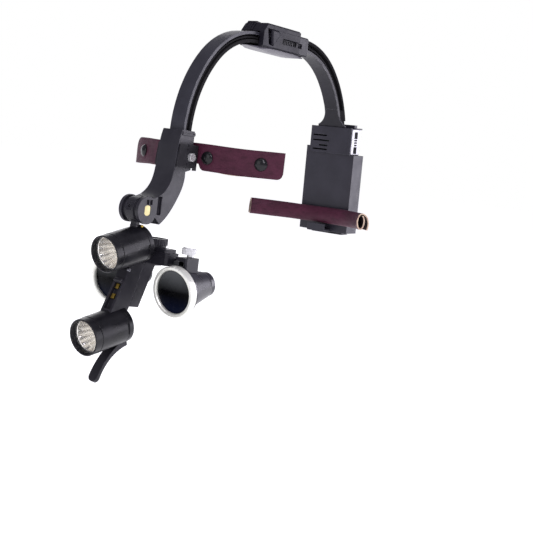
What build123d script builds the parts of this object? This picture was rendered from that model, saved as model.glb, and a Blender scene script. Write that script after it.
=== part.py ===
from build123d import *
from math import atan2, cos, degrees, pi, radians, sin, sqrt, tan
import os

# Dental loupes on an adjustable head arch. Millimetres. +Z up, the wearer faces -Y, the wearer's left is +X.
# The origin is the centre of the head that the arch sits on.

os.makedirs("parts", exist_ok=True)

# ---- driving dimensions ----
GAP = 0.3                      # clearance between bodies that move against each other
RUN = 0.05                     # radial clearance of a running shaft

ARCH_WIDTH = 13.0              # across the head
FRONT_HALF_DEPTH = 4.1         # half of the front arch's radial depth
REAR_HALF_DEPTH = 4.8
FRONT_FOOT = (-86.5, 14.0)     # (y, z) of the front arch's lower end, inside the arm
FRONT_BENDS = [(86.0, 41.5), (60.6, 48.5)]
FRONT_RISE = 18.9              # straight lead below the first bend
REAR_BENDS = [(63.0, 42.7), (84.5, 29.3)]
REAR_START = (40.0, 113.4)     # (y, z) where the rear arch leaves its collar

BOX_FRONT, BOX_BACK = -19.0, 27.0
BOX_LOW, BOX_SEAM, BOX_TOP = 104.4, 118.4, 122.2
BOX_HALF = 11.0
CAVITY_HALF = 6.9
REAR_TONGUE = (108.7, 117.3)   # heights of the rear arch's sliding tongue
TRAVEL = 15.0                  # sliding travel of each arch
TONGUE_END = 2.5

ARM_HALF = 9.0
HINGE = (-120.8, -22.7)        # (y, z) of the front hinge
LOBE_RADIUS = 9.5
BARREL_RADIUS = 8.9
BARREL_HALF = 6.2
LOBE_GAP = 6.7                 # half of the gap between the arm's two lobes
PIN_RADIUS = 2.25
PIN_HEAD = (3.6, 2.7)          # half height and half width of the flatted pin head
ARM_TOP = 34.8

BAND_PIVOT = (-85.1, 16.6)
STUD_RADIUS = 1.45
BRACKET_HALF = 10.5
BAND_RADIUS = 106.0
BAND_CENTRE_Y = -75.6          # middle of the band's thickness at x = 0
BAND_THICK = 2.6
BAND_LOW, BAND_HIGH = 8.0, 27.0
BAND_END_ANGLE = 37.5          # half angle that the band spans
SNAP_ANGLES = (-31.0, -9.6, 9.6, 31.0)

LAMP_RADIUS = 13.0
LAMP_LENGTH = 36.0
LAMP_PITCH = 14.0
LAMP_BORE = 11.6
UPPER_LAMP = (-148.4, -54.4)   # (y, z) of the front face's centre
LOWER_LAMP = (-159.6, -110.5)
CAP_LENGTH = 5.0
BEZEL_LENGTH = 6.0             # screw-in front ring, up to its seam
BEZEL_RADIUS = 12.85           # a little under the barrel's own radius
BOWL_FRONT = 5.3               # reflector rim behind the lamp's front face

PLATE_HALF = 4.9               # lamp bracket and carrier

PINION_Y = -100.5              # the pinion's axis is vertical, at x = 0
MODULE = 0.56
TEETH = 10
PITCH_RADIUS = MODULE * TEETH / 2
RACK_LOW, RACK_HIGH = -58.0, -53.8
RACK_BACK = 5.2                # rack's back from the pinion's axis
RACK_IN, RACK_OUT = -14.0, 25.0
LUG_LOW, LUG_HIGH = -57.6, -54.8
HOUSING_HALF = 19.0
HOUSING_DEEP = 6.7             # half of the housing's depth
HOUSING_LOW, HOUSING_SEAM = -59.4, -53.0

PUPIL_HALF = 30.0              # half of the interpupillary distance
SCREW_Y = -96.0
SCREW_X = 30.5
SCOPE_FRONT = (-110.4, -75.8)  # (y, z) of the objective's centre
SCOPE_PITCH = 9.1
SCOPE_LENGTH = 35.5
RING_RADIUS = 17.75

REAR_TILT = 3.0                # housing and battery lean about this pivot
REAR_PIVOT = (102.0, 34.0)
CASE_HALF = 23.8
CASE_FRONT, CASE_BACK = 103.0, 118.8
CASE_LOW, CASE_TOP = -31.0, 34.0
SHELL_HALF = 20.0
SHELL_FRONT, SHELL_SEAM, SHELL_BACK = 101.8, 110.5, 117.2
SHELL_TOP = 56.0
VENTS = [(-17.8, -3.9, 48.4), (-17.6, -1.0, 44.2), (-11.3, -2.5, 40.1), (-17.5, -2.7, 36.8)]
WALL = 1.6

STRAP_RADIUS = 77.0
STRAP_CENTRE_Y = 101.0
STRAP_Z = -18.0
STRAP_LEFT_ANGLE = 44.5
STRAP_RIGHT_ANGLE = 46.5
STRAP_DEEP, STRAP_TALL = 7.6, 14.5


# ---- shared helpers ----
def save(name, *solids):
    """One STEP per node; several solids are stored as one group."""
    shape = solids[0] if len(solids) == 1 else Compound(children=list(solids))
    export_step(shape, f"parts/{name}.step")


def block(x, y, z):
    """Axis-parallel box from its low and high limits along X, Y and Z."""
    size = (x[1] - x[0], y[1] - y[0], z[1] - z[0])
    centre = ((x[0] + x[1]) / 2, (y[0] + y[1]) / 2, (z[0] + z[1]) / 2)
    return Pos(*centre) * Box(*size)


def side_slab(outline, x_low, x_high):
    """Face drawn in (y, z), made solid between two x planes."""
    return Pos(x_low, 0, 0) * extrude(Plane.YZ * outline, amount=x_high - x_low)


def side_polygon(points, half):
    return side_slab(make_face(Polyline(*points, close=True)), -half, half)


def plan_slab(outline, z_low, z_high):
    """Face drawn in (x, y), made solid between two heights."""
    return Pos(0, 0, z_low) * extrude(outline, amount=z_high - z_low)


def front_slab(outline, y_low, y_high):
    """Face drawn in (x, z), made solid between two y planes."""
    return Pos(0, y_high, 0) * extrude(Plane.XZ * outline, amount=y_high - y_low)


def rod_x(radius, x_low, x_high, centre):
    """Cylinder along X about the (y, z) centre."""
    return side_slab(Pos(*centre) * Circle(radius), x_low, x_high)


def rod_z(radius, z_low, z_high, centre):
    """Cylinder along Z about the (x, y) centre."""
    return plan_slab(Pos(*centre) * Circle(radius), z_low, z_high)


def axis_plane(front, pitch, x=0.0):
    """Plane at a front face, its Z pointing back and up at the pitch angle."""
    back = (0, cos(radians(pitch)), sin(radians(pitch)))
    return Plane(origin=(x, front[0], front[1]), x_dir=(1, 0, 0), z_dir=back)


def turned(profile, plane):
    """Revolve a closed (radius, distance) outline about the plane's Z."""
    face = make_face(Polyline(*profile, close=True))
    return plane * revolve(Plane.XZ * face, Axis.Z)


def tube(plane, outer, inner, low, high):
    return turned([(inner, low), (outer, low), (outer, high), (inner, high)], plane)


def disc(plane, radius, low, high):
    return turned([(0, low), (radius, low), (radius, high), (0, high)], plane)


def notched_disc(radius, notch, count, z_low, z_high, centre):
    """Knob with a ring of small round notches cut in its edge."""
    knob = rod_z(radius, z_low, z_high, centre)
    spots = Pos(centre[0], centre[1], z_low - 1) * PolarLocations(radius + notch * 0.35, count)
    cutter = Cylinder(notch, z_high - z_low + 2, align=(Align.CENTER, Align.CENTER, Align.MIN))
    return knob - [spot * cutter for spot in spots]


def cross_recess(seat, depth):
    """Cross cutter in a screw head whose face lies on the plane."""
    return seat * (Pos(0, 0, -depth / 2) * (Box(1.6, 0.45, depth) + Box(0.45, 1.6, depth)))


def mirrored(shape):
    return mirror(shape, about=Plane.YZ)


# ---- arches ----
def arch_path(start, heading, lead, bends):
    """Straight lead and tangent arcs in the YZ plane. Heading is degrees from up, towards +Y."""
    point = Vector(*start)
    edges = []
    if lead:
        edges.append(Line(point, point + Vector(0, lead)))
        point = edges[-1] @ 1
    for radius, turn in bends:
        tangent = (sin(radians(heading)), cos(radians(heading)))
        edges.append(JernArc(point, tangent, radius, -turn))
        point = edges[-1] @ 1
        heading += turn
    return edges, point, heading


def arch_section(half_depth):
    """Outer flange, middle rib and inner flange on a narrow web."""
    web = Rectangle(5.0, 2 * half_depth)
    outer = Pos(0, -half_depth + 1.1) * Rectangle(ARCH_WIDTH, 2.2)
    rib = Pos(0, 0.2) * Rectangle(10.6, 1.3)
    inner = Pos(0, half_depth - 1.2) * Rectangle(ARCH_WIDTH, 2.4)
    return web + outer + rib + inner


def swept(edges, section):
    wire = Plane.YZ * Wire(edges)
    start = Plane(origin=wire @ 0, x_dir=(1, 0, 0), z_dir=wire % 0)
    return sweep(start * section, path=wire)


def flex_section(half_depth):
    """Flat lead that lies in the groove between outer flange and rib, on the web's -X side."""
    groove_low, groove_high = -half_depth + 2.2, -0.45
    return Pos(-2.85, (groove_low + groove_high) / 2) * Rectangle(0.5, 1.2)


def front_arch():
    edges, end, _ = arch_path(FRONT_FOOT, 0.0, FRONT_RISE, FRONT_BENDS)
    tongue = Line(end, Vector(TONGUE_END, end.Y))
    save("front_arch", swept(edges + [tongue], arch_section(FRONT_HALF_DEPTH)))
    save("front_flex_lead", swept(edges, flex_section(FRONT_HALF_DEPTH)))


def arch_foot():
    """Flared foot of the rear arch that the rear housing closes around."""
    side = [(96.7, 70.0), (105.6, 70.0), (110.8, 56.0), (112.0, 50.0), (103.2, 50.0), (101.6, 56.0)]
    skin = [(96.7, 70.0), (98.6, 70.0), (103.6, 56.0), (105.2, 50.0), (103.2, 50.0), (101.6, 56.0)]
    flare = Line((-14.0, 48), (-14.0, 57.5)), ThreePointArc((-14.0, 57.5), (-8.6, 61.8), (-6.5, 70.5))
    flare += Line((-6.5, 70.5), (6.5, 70.5)), ThreePointArc((6.5, 70.5), (8.2, 61.8), (12.6, 57.5))
    flare += Line((12.6, 57.5), (12.6, 48)), Line((12.6, 48), (-14.0, 48))
    plate = side_polygon(skin, 15) & front_slab(make_face(flare), 90, 120)
    return side_polygon(side, ARCH_WIDTH / 2) + plate


def rear_arch():
    edges, _, _ = arch_path(REAR_START, 90.0, 0, REAR_BENDS)
    arch = swept(edges, arch_section(REAR_HALF_DEPTH))
    collar = block((-9.5, 9.5), (BOX_BACK + GAP, 40.0), (104.6, 119.2))
    collar = chamfer(collar.edges().filter_by(Axis.Y), 1.2)
    tongue = block((-6.5, 6.5), (5.5, 28.0), REAR_TONGUE)
    notches = [block((5.4, 7.0), (6.6 + 2.2 * i, 7.8 + 2.2 * i), (109.9, 113.4)) for i in range(9)]
    slot_end = block((7.6, 10.0), (27.0, 32.0), (109.6, 113.7))
    foot = arch_foot()
    save("rear_arch", arch + collar + foot + tongue - notches - slot_end)
    save("rear_flex_lead", swept(edges, flex_section(REAR_HALF_DEPTH)) - foot - collar)


# ---- adjuster on the crown ----
BUTTON_OUTLINE = [(-14.4, 118.0), (-11.6, 107.2), (-6.6, 106.8), (1.0, 116.2), (-2.0, 118.0)]
LEVER_PIVOT = (-9.2, 118.9)
LEVER_BROW, LEVER_TIP = (-13.9, 123.5), (-19.2, 116.2)
LEVER_MID, LEVER_HALF = -5.2, 4.2


def adjuster():
    body = block((-BOX_HALF, BOX_HALF), (BOX_FRONT, BOX_BACK), (BOX_LOW, BOX_SEAM))
    body = chamfer(body.edges().filter_by(Axis.Y).group_by(Axis.Z)[0], 1.0)
    body -= block((-CAVITY_HALF, CAVITY_HALF), (BOX_FRONT - 1, 4.0), (105.1, 115.4))
    body -= block((-CAVITY_HALF, CAVITY_HALF), (4.0, BOX_BACK + 1), (108.3, 117.7))
    body -= block((CAVITY_HALF - 1, BOX_HALF + 1), (5.0, BOX_BACK + 1), (109.6, 113.7))
    body -= side_slab(offset(make_face(Polyline(*BUTTON_OUTLINE, close=True)), 0.35), 8.1, BOX_HALF + 1)
    sides = (LEVER_MID - LEVER_HALF - 0.4, LEVER_MID + LEVER_HALF + 0.4)
    lever_room = block(sides, (BOX_FRONT - 2, LEVER_PIVOT[0] + 3.6), (115.2, BOX_TOP + 1))
    ahead = [(BOX_FRONT - 1, BOX_TOP + 1), (BOX_FRONT - 1, 115.8), (BOX_FRONT, 115.8)]
    rake = side_polygon(ahead + [(BOX_FRONT + 4.7, BOX_TOP), (BOX_FRONT + 4.7, BOX_TOP + 1)], 14)
    cover = block((-BOX_HALF, BOX_HALF), (BOX_FRONT, BOX_BACK), (BOX_SEAM, BOX_TOP))
    cover = chamfer(cover.edges().group_by(Axis.Z)[-1], 1.1)
    pin = rod_x(1.0, sides[0] - 0.7, sides[1] + 2.4, LEVER_PIVOT)
    save("adjuster_body", body - rake - lever_room - pin)
    save("adjuster_cover", cover - rake - lever_room - pin)
    save("lever_pin", pin)


def lock_lever():
    nose = [(-6.8, 117.4), (-6.8, 121.2), (-9.6, 123.2), LEVER_BROW, LEVER_TIP]
    lever = side_polygon(nose + [(-18.4, 115.6), (-8.4, 115.5)], LEVER_HALF)
    swing = rod_x(3.3, -7, 7, LEVER_PIVOT) + block((-7, 7), (-40, LEVER_PIVOT[0]), (110, 125))
    lever = lever & swing
    rise = (LEVER_BROW[0] - LEVER_TIP[0], LEVER_BROW[1] - LEVER_TIP[1])
    slope = degrees(atan2(rise[1], rise[0]))
    middle = ((LEVER_TIP[0] + LEVER_BROW[0]) / 2, (LEVER_TIP[1] + LEVER_BROW[1]) / 2)
    face = Pos(0, *middle) * Rot(slope, 0, 0)
    lever -= [face * Pos(x, 0, 0) * Box(1.3, 7.4, 1.4) for x in (-2.3, 0.0, 2.3)]
    save("lock_lever", Pos(LEVER_MID, 0, 0) * (lever - rod_x(1.0 + RUN, -8, 8, LEVER_PIVOT)))


def push_button():
    """Button face, set back from the front edge of its opening to leave a finger dip."""
    outline = [(-10.6, 118.0), (-8.6, 107.2)] + BUTTON_OUTLINE[2:]
    face = make_face(Polyline(*outline, close=True))
    cap = side_slab(face, 9.9, 12.2)
    cap = chamfer(cap.faces().sort_by(Axis.X)[-1].edges(), 0.9)
    save("push_button", cap)
    leaf = [(8.15, 0), (8.45, 0), (9.55, 3.4), (9.85, 3.4), (9.85, 3.7), (9.3, 3.7), (8.15, 0.35)]
    spring = extrude(Plane.XY * make_face(Polyline(*leaf, close=True)), amount=2.5, both=True)
    save("button_spring", Pos(0, -8.6, 113.5) * spring)


def crown_pad():
    plan = Spline((-2.5, -27.5), (-9.6, -8.0), (-9.6, 24.0), (-2.5, 44.5)), Line((-2.5, 44.5), (2.5, 44.5))
    plan += Spline((2.5, 44.5), (9.6, 24.0), (9.6, -8.0), (2.5, -27.5)), Line((2.5, -27.5), (-2.5, -27.5))
    side = ThreePointArc((-28.0, 103.9), (9.0, 101.6), (45.0, 103.9)), Line((45.0, 103.9), (45.0, 104.2))
    side += Line((45.0, 104.2), (-28.0, 104.2)), Line((-28.0, 104.2), (-28.0, 103.9))
    keel = front_slab(Pos(0, 101.6 + 22.0) * Circle(22.0), -30, 46)
    save("crown_pad", plan_slab(make_face(plan), 100, 105) & side_slab(make_face(side), -12, 12) & keel)


# ---- forehead arm and front hinge ----
def pin_head(clearance, x_low, x_high):
    """Round head with two flats, and with a clearance the pocket it sits in."""
    tall, wide = PIN_HEAD[0] + clearance, PIN_HEAD[1] + clearance
    outline = Circle(tall) & Rectangle(2 * wide, 2 * tall)
    return side_slab(Pos(*HINGE) * outline, x_low, x_high)


def arm_side_details():
    """Cuts in the arm's +X side: cable slot, two small pockets and the pin head's pocket."""
    cuts = block((ARM_HALF - 2.0, ARM_HALF + 1), (-111.5, -107.5), (-25.4, -12.6))
    for y in (-121.2, -117.8):
        cuts += block((ARM_HALF - 1.6, ARM_HALF + 1), (y - 1.2, y + 1.2), (-18.7, -15.4))
    return cuts + pin_head(0.1, ARM_HALF - 1.2, ARM_HALF + 1)


def top_rail():
    """Raised rail with a slot, across the top of the arm's +X side."""
    rail = block((ARM_HALF - 0.2, ARM_HALF + 0.6), (-93.9, -80.9), (31.2, 34.0))
    rail = fillet(rail.edges().filter_by(Axis.X).group_by(Axis.Y)[-1], 1.3)
    return rail - block((ARM_HALF + 0.1, ARM_HALF + 1), (-92.9, -82.2), (32.1, 33.1))


def forehead_arm():
    cy, cz = HINGE
    lobe_top = (cy + LOBE_RADIUS * cos(radians(64)), cz + LOBE_RADIUS * sin(radians(64)))
    lobe_low = (cy + LOBE_RADIUS * cos(radians(-48)), cz + LOBE_RADIUS * sin(radians(-48)))
    outline = [Line((-81.4, ARM_TOP), (-94.4, ARM_TOP))]
    front = [(-94.4, ARM_TOP), (-97.4, 20.0), (-98.7, 6.0), (-101.8, -4.0), (-108.6, -11.2), lobe_top]
    outline.append(Spline(*front))
    outline.append(ThreePointArc(lobe_top, (cy - LOBE_RADIUS, cz), lobe_low))
    outline.append(Line(lobe_low, (-112.6, -27.2)))
    outline.append(Line((-112.6, -27.2), (-107.5, -31.9)))
    outline.append(Spline((-107.5, -31.9), (-99.6, -24.6), (-92.3, -14.0), (-87.6, -4.0), (-86.7, 6.0)))
    outline.append(Line((-86.7, 6.0), (-81.4, 7.6)))
    outline.append(Line((-81.4, 7.6), (-81.4, ARM_TOP)))
    arm = side_slab(make_face(outline), -ARM_HALF, ARM_HALF)
    arm -= block((-6.7, 6.7), (-90.8, -82.2), (13.8, 40.0))
    arm -= rod_x(LOBE_RADIUS + 1.1, -LOBE_GAP, LOBE_GAP, HINGE)
    arm -= block((-LOBE_GAP, LOBE_GAP), (-140.0, -115.0), (-40.0, cz))
    details = arm_side_details()
    arm = arm - details - mirrored(details) + top_rail() + mirrored(top_rail())
    arm -= rod_x(PIN_RADIUS, -ARM_HALF, ARM_HALF, HINGE)
    arm -= rod_x(STUD_RADIUS, 6.9, ARM_HALF, BAND_PIVOT)
    arm += rod_x(STUD_RADIUS, -10.9, -ARM_HALF + 1, BAND_PIVOT)
    save("forehead_arm", arm)
    head = pin_head(0.0, ARM_HALF - 1.2, ARM_HALF - 0.1)
    save("hinge_pin", rod_x(PIN_RADIUS, -ARM_HALF + 1.2, ARM_HALF - 1.2, HINGE) + head + mirrored(head))
    washer = rod_x(7.0, BARREL_HALF + 0.05, LOBE_GAP - 0.05, HINGE) - rod_x(PIN_RADIUS + RUN, 5.0, 7.0, HINGE)
    save("hinge_washers", washer, mirrored(washer))


def hinge_barrel():
    cy, cz = HINGE
    barrel = rod_x(BARREL_RADIUS - 0.8, -BARREL_HALF, BARREL_HALF, HINGE)
    barrel += rod_x(BARREL_RADIUS, -3.8, 3.8, HINGE)
    barrel += block((-2.6, 2.6), (cy - 2.9, cy + 0.6), (-35.0, cz))
    barrel += block((-2.8, 2.8), (cy - 3.1, cy + 0.9), (-36.0, -33.4))
    barrel -= rod_x(PIN_RADIUS + RUN, -7, 7, HINGE)
    facing = (0, -cos(radians(14)), sin(radians(14)))
    screw_plane = Plane(origin=(-0.6, cy, cz), x_dir=(1, 0, 0), z_dir=facing)
    barrel -= screw_plane * Pos(0, 0, BARREL_RADIUS + 1.5) * Box(5.6, 6.0, 4.2)
    barrel -= disc(screw_plane, 1.3, 4.0, 12.0)
    barrel -= lamp_cylinder(UPPER_LAMP, LAMP_RADIUS)
    save("hinge_barrel", barrel)
    return disc(screw_plane, 1.3, 4.6, 6.6)


# ---- forehead band ----
def arc_bar(centre_y, radius, thick, z_low, z_high, half_angle, facing):
    """Curved bar in plan: facing -1 bulges towards -Y, +1 towards +Y."""
    middle = centre_y - facing * radius
    ring = Circle(radius + thick / 2) - Circle(radius - thick / 2)
    reach = radius * 1.5
    spread = radians(half_angle)
    wedge = [(0, 0), (-reach * sin(spread), facing * reach * cos(spread))]
    wedge += [(0, facing * reach * 1.2), (reach * sin(spread), facing * reach * cos(spread))]
    piece = ring & make_face(Polyline(*wedge, close=True))
    return Pos(0, middle, 0) * plan_slab(piece, z_low, z_high)


def band():
    py, pz = BAND_PIVOT
    strip = arc_bar(BAND_CENTRE_Y, BAND_RADIUS, BAND_THICK, BAND_LOW, BAND_HIGH, BAND_END_ANGLE, -1)
    save("front_band", strip)
    bracket = block((-BRACKET_HALF, BRACKET_HALF), (-79.0, -77.3), (9.0, 25.2))
    outline = [(-77.3, 7.4), (-77.3, 25.2), (-96.2, 25.2), (-97.4, 16.0), (-97.9, 9.0), (-80.5, 9.0)]
    cheek = side_slab(make_face(Polyline(*outline, (-80.5, 7.4), close=True)), ARM_HALF + GAP, BRACKET_HALF)
    for row in (-3, -2, 2, 3):
        z = pz + 2.6 * row
        cheek -= block((BRACKET_HALF - 0.6, BRACKET_HALF + 1), (py - 3.9, py - 2.2), (z - 0.8, z + 0.8))
    bracket += [cheek, mirrored(cheek)]
    bracket -= rod_x(STUD_RADIUS + RUN, -12, 12, BAND_PIVOT)
    save("band_bracket", bracket)
    screw = notched_disc(3.0, 0.35, 16, 10.65, 13.2, (0, 0))
    screw += Pos(0, 0, 7.1) * Cylinder(STUD_RADIUS, 4.2, align=(Align.CENTER, Align.CENTER, Align.MIN))
    turn = Pos(0, py, pz) * Rot(0, 90, 0)
    save("band_screw", turn * screw)
    save("band_snaps", *[snap(angle) for angle in SNAP_ANGLES])


def snap(angle):
    """Domed press-stud cap on the band's outer face."""
    turn = radians(angle)
    radius = BAND_RADIUS + BAND_THICK / 2
    middle = BAND_CENTRE_Y + BAND_RADIUS
    outward = (sin(turn), -cos(turn), 0)
    spot = (radius * sin(turn), middle - radius * cos(turn), (BAND_LOW + BAND_HIGH) / 2)
    seat = Plane(origin=spot, x_dir=(0, 0, 1), z_dir=outward)
    dome = Pos(0, 0, 2.1 - 8.3) * Sphere(8.3)
    return disc(seat, 4.6, 0.1, 2.1) & (seat * dome)


# ---- lamps ----
def lamp_cylinder(front, radius, low=-1.0, high=LAMP_LENGTH):
    return disc(axis_plane(front, LAMP_PITCH), radius, low, high)


def lamp(prefix, front, slit):
    plane = axis_plane(front, LAMP_PITCH)
    seam = LAMP_LENGTH - CAP_LENGTH
    body = disc(plane, LAMP_RADIUS, 0, seam) - disc(plane, LAMP_BORE, -1, seam - 2.0)
    body = chamfer(body.edges().filter_by(GeomType.CIRCLE).sort_by(Axis.Y)[:2], 0.5)
    body -= [tube(plane, LAMP_BORE + 0.35, LAMP_BORE - 1, 1.2 + 0.75 * i, 1.55 + 0.75 * i) for i in range(4)]
    body -= tube(plane, LAMP_RADIUS + 1, BEZEL_RADIUS, -1.0, BEZEL_LENGTH)
    body -= tube(plane, LAMP_RADIUS + 1, LAMP_RADIUS - 0.4, BEZEL_LENGTH, BEZEL_LENGTH + 0.4)
    body -= plane * Pos(LAMP_RADIUS, 0, seam) * Box(2.4, slit, 2.4)
    cap = disc(plane, LAMP_RADIUS, seam + 0.5, LAMP_LENGTH) + disc(plane, LAMP_RADIUS - 0.7, seam, seam + 0.5)
    cap = chamfer(cap.edges().filter_by(GeomType.CIRCLE).sort_by(Axis.Y)[-1], 0.8)
    save(f"{prefix}_lamp_body", body)
    save(f"{prefix}_lamp_cap", cap)
    save(f"{prefix}_lamp_glass", disc(plane, LAMP_BORE - 0.05, 4.2, 5.2))
    curve = [(3.2 + 8.0 * sqrt(i / 6), BOWL_FRONT + 12.6 * (1 - i / 6)) for i in range(7)]
    back = [(r + 0.5, s + 0.9) for r, s in curve[4:0:-1]]
    lip = [(LAMP_BORE - 0.05, BOWL_FRONT), (LAMP_BORE - 0.05, BOWL_FRONT + 1.2)]
    save(f"{prefix}_reflector", turned(curve + lip + back + [(3.2, BOWL_FRONT + 13.4)], plane))
    fins = [tube(plane, 12, 9.0, 21.6 + 2.4 * i, 22.9 + 2.4 * i) for i in range(3)]
    sink = disc(plane, LAMP_BORE - 0.1, 20.4, seam - 2.2) - fins
    led = disc(plane, 8.5, 19.2, 20.4) + disc(plane, 2.2, 16.4, 19.2)
    save(f"{prefix}_led_module", sink + led)


def lamp_bracket():
    profile = [(-126.0, -56.0), (-130.6, -70.7), (-142.0, -95.0), (-141.0, -98.0), (-127.0, -96.0)]
    profile += [(-123.9, -89.4), (-112.2, -56.0)]
    plate = side_polygon(profile, PLATE_HALF)
    lean = degrees(atan2(142.0 - 130.6, 95.0 - 70.7))
    floor = Pos(0, -136.3, -82.8) * Rot(-lean, 0, 0)
    plate -= floor * Pos(0, 0, 0.6) * Box(6.4, 6.0, 19.6)
    ledge = floor * Pos(0, -0.4, 12.0) * Box(7.6, 3.2, 2.4)
    plate += chamfer(ledge.edges(), 0.4)
    lamps = lamp_cylinder(UPPER_LAMP, LAMP_RADIUS + 0.05) + lamp_cylinder(LOWER_LAMP, LAMP_RADIUS + 0.05)
    save("lamp_bracket", plate - lamps - plate_screws())
    contacts = [floor * Pos(-1.2, 2.2, z) * Box(2.8, 1.5, 3.4) for z in (8.2, 0.7)]
    pin = rod_z(1.0, -36.0, -33.2, (4.0, -119.2)) - lamp_cylinder(UPPER_LAMP, LAMP_RADIUS)
    save("brass_contacts", *contacts, pin)


def loupe_carrier():
    profile = [(-112.0, -56.0), (-123.7, -89.5), (-114.9, -90.2), (-102.6, -61.1)]
    plate = side_polygon(profile + [(-96.0, -61.1), (-96.0, -56.0)], PLATE_HALF)
    plate -= lamp_cylinder(UPPER_LAMP, LAMP_RADIUS + 0.05)
    plate -= block((-30, 30), (PINION_Y - HOUSING_DEEP - 0.05, -90), (HOUSING_LOW - 0.05, -50))
    save("loupe_carrier", plate - plate_screws())


def lamp_handle():
    outer = ThreePointArc((-120.6, -116.6), (-135.8, -125.8), (-144.9, -141.8))
    inner = ThreePointArc((-147.6, -140.6), (-138.2, -124.4), (-129.5, -116.0))
    tip_edge = Line(outer @ 1, inner @ 0)
    root = Polyline(inner @ 1, (-122.0, -112.0), outer @ 0)
    lever = side_slab(make_face([outer, tip_edge, inner, root]), -4.0, 4.0)
    tip = lever.edges().filter_by(Axis.X, reverse=True).sort_by(Axis.Z)[:2]
    lever = fillet(tip, 3.7)
    save("lamp_handle", lever - lamp_cylinder(LOWER_LAMP, LAMP_RADIUS + 0.05))


# ---- interpupillary drive ----
def involute_tooth_half(radius, base, half_at_pitch):
    """Half angle of a gear tooth at the given radius."""
    if radius <= base:
        return half_at_pitch + involute(acos_ratio(base, PITCH_RADIUS))
    return half_at_pitch + involute(acos_ratio(base, PITCH_RADIUS)) - involute(acos_ratio(base, radius))


def acos_ratio(base, radius):
    return atan2(sqrt(radius * radius - base * base), base)


def involute(angle):
    return tan(angle) - angle


def pinion(z_low, z_high):
    base = PITCH_RADIUS * cos(radians(20))
    root, tip = PITCH_RADIUS - 1.0 * MODULE, PITCH_RADIUS + 0.8 * MODULE
    half = pi / (2 * TEETH) - 0.02
    radii = [root, base, PITCH_RADIUS, PITCH_RADIUS + 0.4 * MODULE, tip]
    points = []
    for tooth in range(TEETH):
        middle = 2 * pi * tooth / TEETH
        flank = [(r, involute_tooth_half(r, base, half)) for r in radii]
        points += [(r * cos(middle - a), r * sin(middle - a)) for r, a in flank]
        points += [(r * cos(middle + a), r * sin(middle + a)) for r, a in reversed(flank)]
    return plan_slab(make_face(Polyline(*points, close=True)), z_low, z_high)


def rack_outline():
    """Rack at y > 0 above a pinion centred on the origin, with a tooth at x = 0."""
    pitch = pi * MODULE
    tip, root = PITCH_RADIUS - 0.55 * MODULE, PITCH_RADIUS + 1.05 * MODULE
    slope = tan(radians(20))
    half = pitch / 4 - 0.06
    wide = half + slope * (root - PITCH_RADIUS)
    slim = half - slope * (PITCH_RADIUS - tip)
    points = [(RACK_IN, RACK_BACK), (RACK_IN, root)]
    for tooth in range(-5, 5):
        centre = pitch * tooth
        points += [(centre - wide, root), (centre - slim, tip), (centre + slim, tip), (centre + wide, root)]
    return points + [(RACK_OUT, root), (RACK_OUT, RACK_BACK)]


def at_pinion(shape):
    return Pos(0, PINION_Y) * shape


def half_turned(shape):
    """Half a turn about the pinion's axis."""
    return at_pinion(Rot(0, 0, 180) * Pos(0, -PINION_Y) * shape)


def rack_lug():
    """Ear at the rack's outer end that the telescope's screw passes through."""
    lug = block((24.4, 29.0), (PINION_Y - RACK_BACK, PINION_Y + RACK_BACK), (LUG_LOW, LUG_HIGH))
    lug += rod_z(4.5, LUG_LOW, LUG_HIGH, (28.6, SCREW_Y))
    return lug - rod_z(1.6, -60, -50, (SCREW_X, SCREW_Y))


def pupil_drive():
    bar = at_pinion(plan_slab(make_face(Polyline(*rack_outline(), close=True)), RACK_LOW, RACK_HIGH))
    save("left_rack", bar + rack_lug())
    save("right_rack", half_turned(bar) + mirrored(rack_lug()))
    centre = (0, PINION_Y)
    knob = notched_disc(9.6, 0.5, 34, -46.6, -42.0, centre) + rod_z(8.8, -47.9, -46.6, centre)
    knob -= rod_z(6.6, -42.7, -41.0, centre)
    save("pupil_knob", knob + rod_z(2.0, -54.0, -47.9, centre) + at_pinion(pinion(-57.8, -54.0)))
    reach = RACK_BACK + GAP
    deep = (PINION_Y - HOUSING_DEEP, PINION_Y + HOUSING_DEEP)
    housing = block((-HOUSING_HALF, HOUSING_HALF), deep, (HOUSING_LOW, HOUSING_SEAM))
    housing = chamfer(housing.edges().filter_by(Axis.Z), 1.4)
    housing -= block((-17.4, 17.4), (PINION_Y - reach, PINION_Y + reach), (RACK_LOW - GAP, -52.0))
    way = block((17.0, HOUSING_HALF + 1), (PINION_Y + 3.0, PINION_Y + reach), (RACK_LOW - GAP, -52.0))
    save("rack_housing", housing - way - half_turned(way))
    lid = block((-HOUSING_HALF, HOUSING_HALF), deep, (HOUSING_SEAM, -50.7))
    lid = chamfer(lid.edges().filter_by(Axis.Z), 1.4)
    lid += block((-16.0, 16.0), (PINION_Y - 5.8, PINION_Y + 5.8), (-50.7, -48.2))
    save("rack_lid", lid - rod_z(2.0 + RUN, -54, -48, centre))


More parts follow.
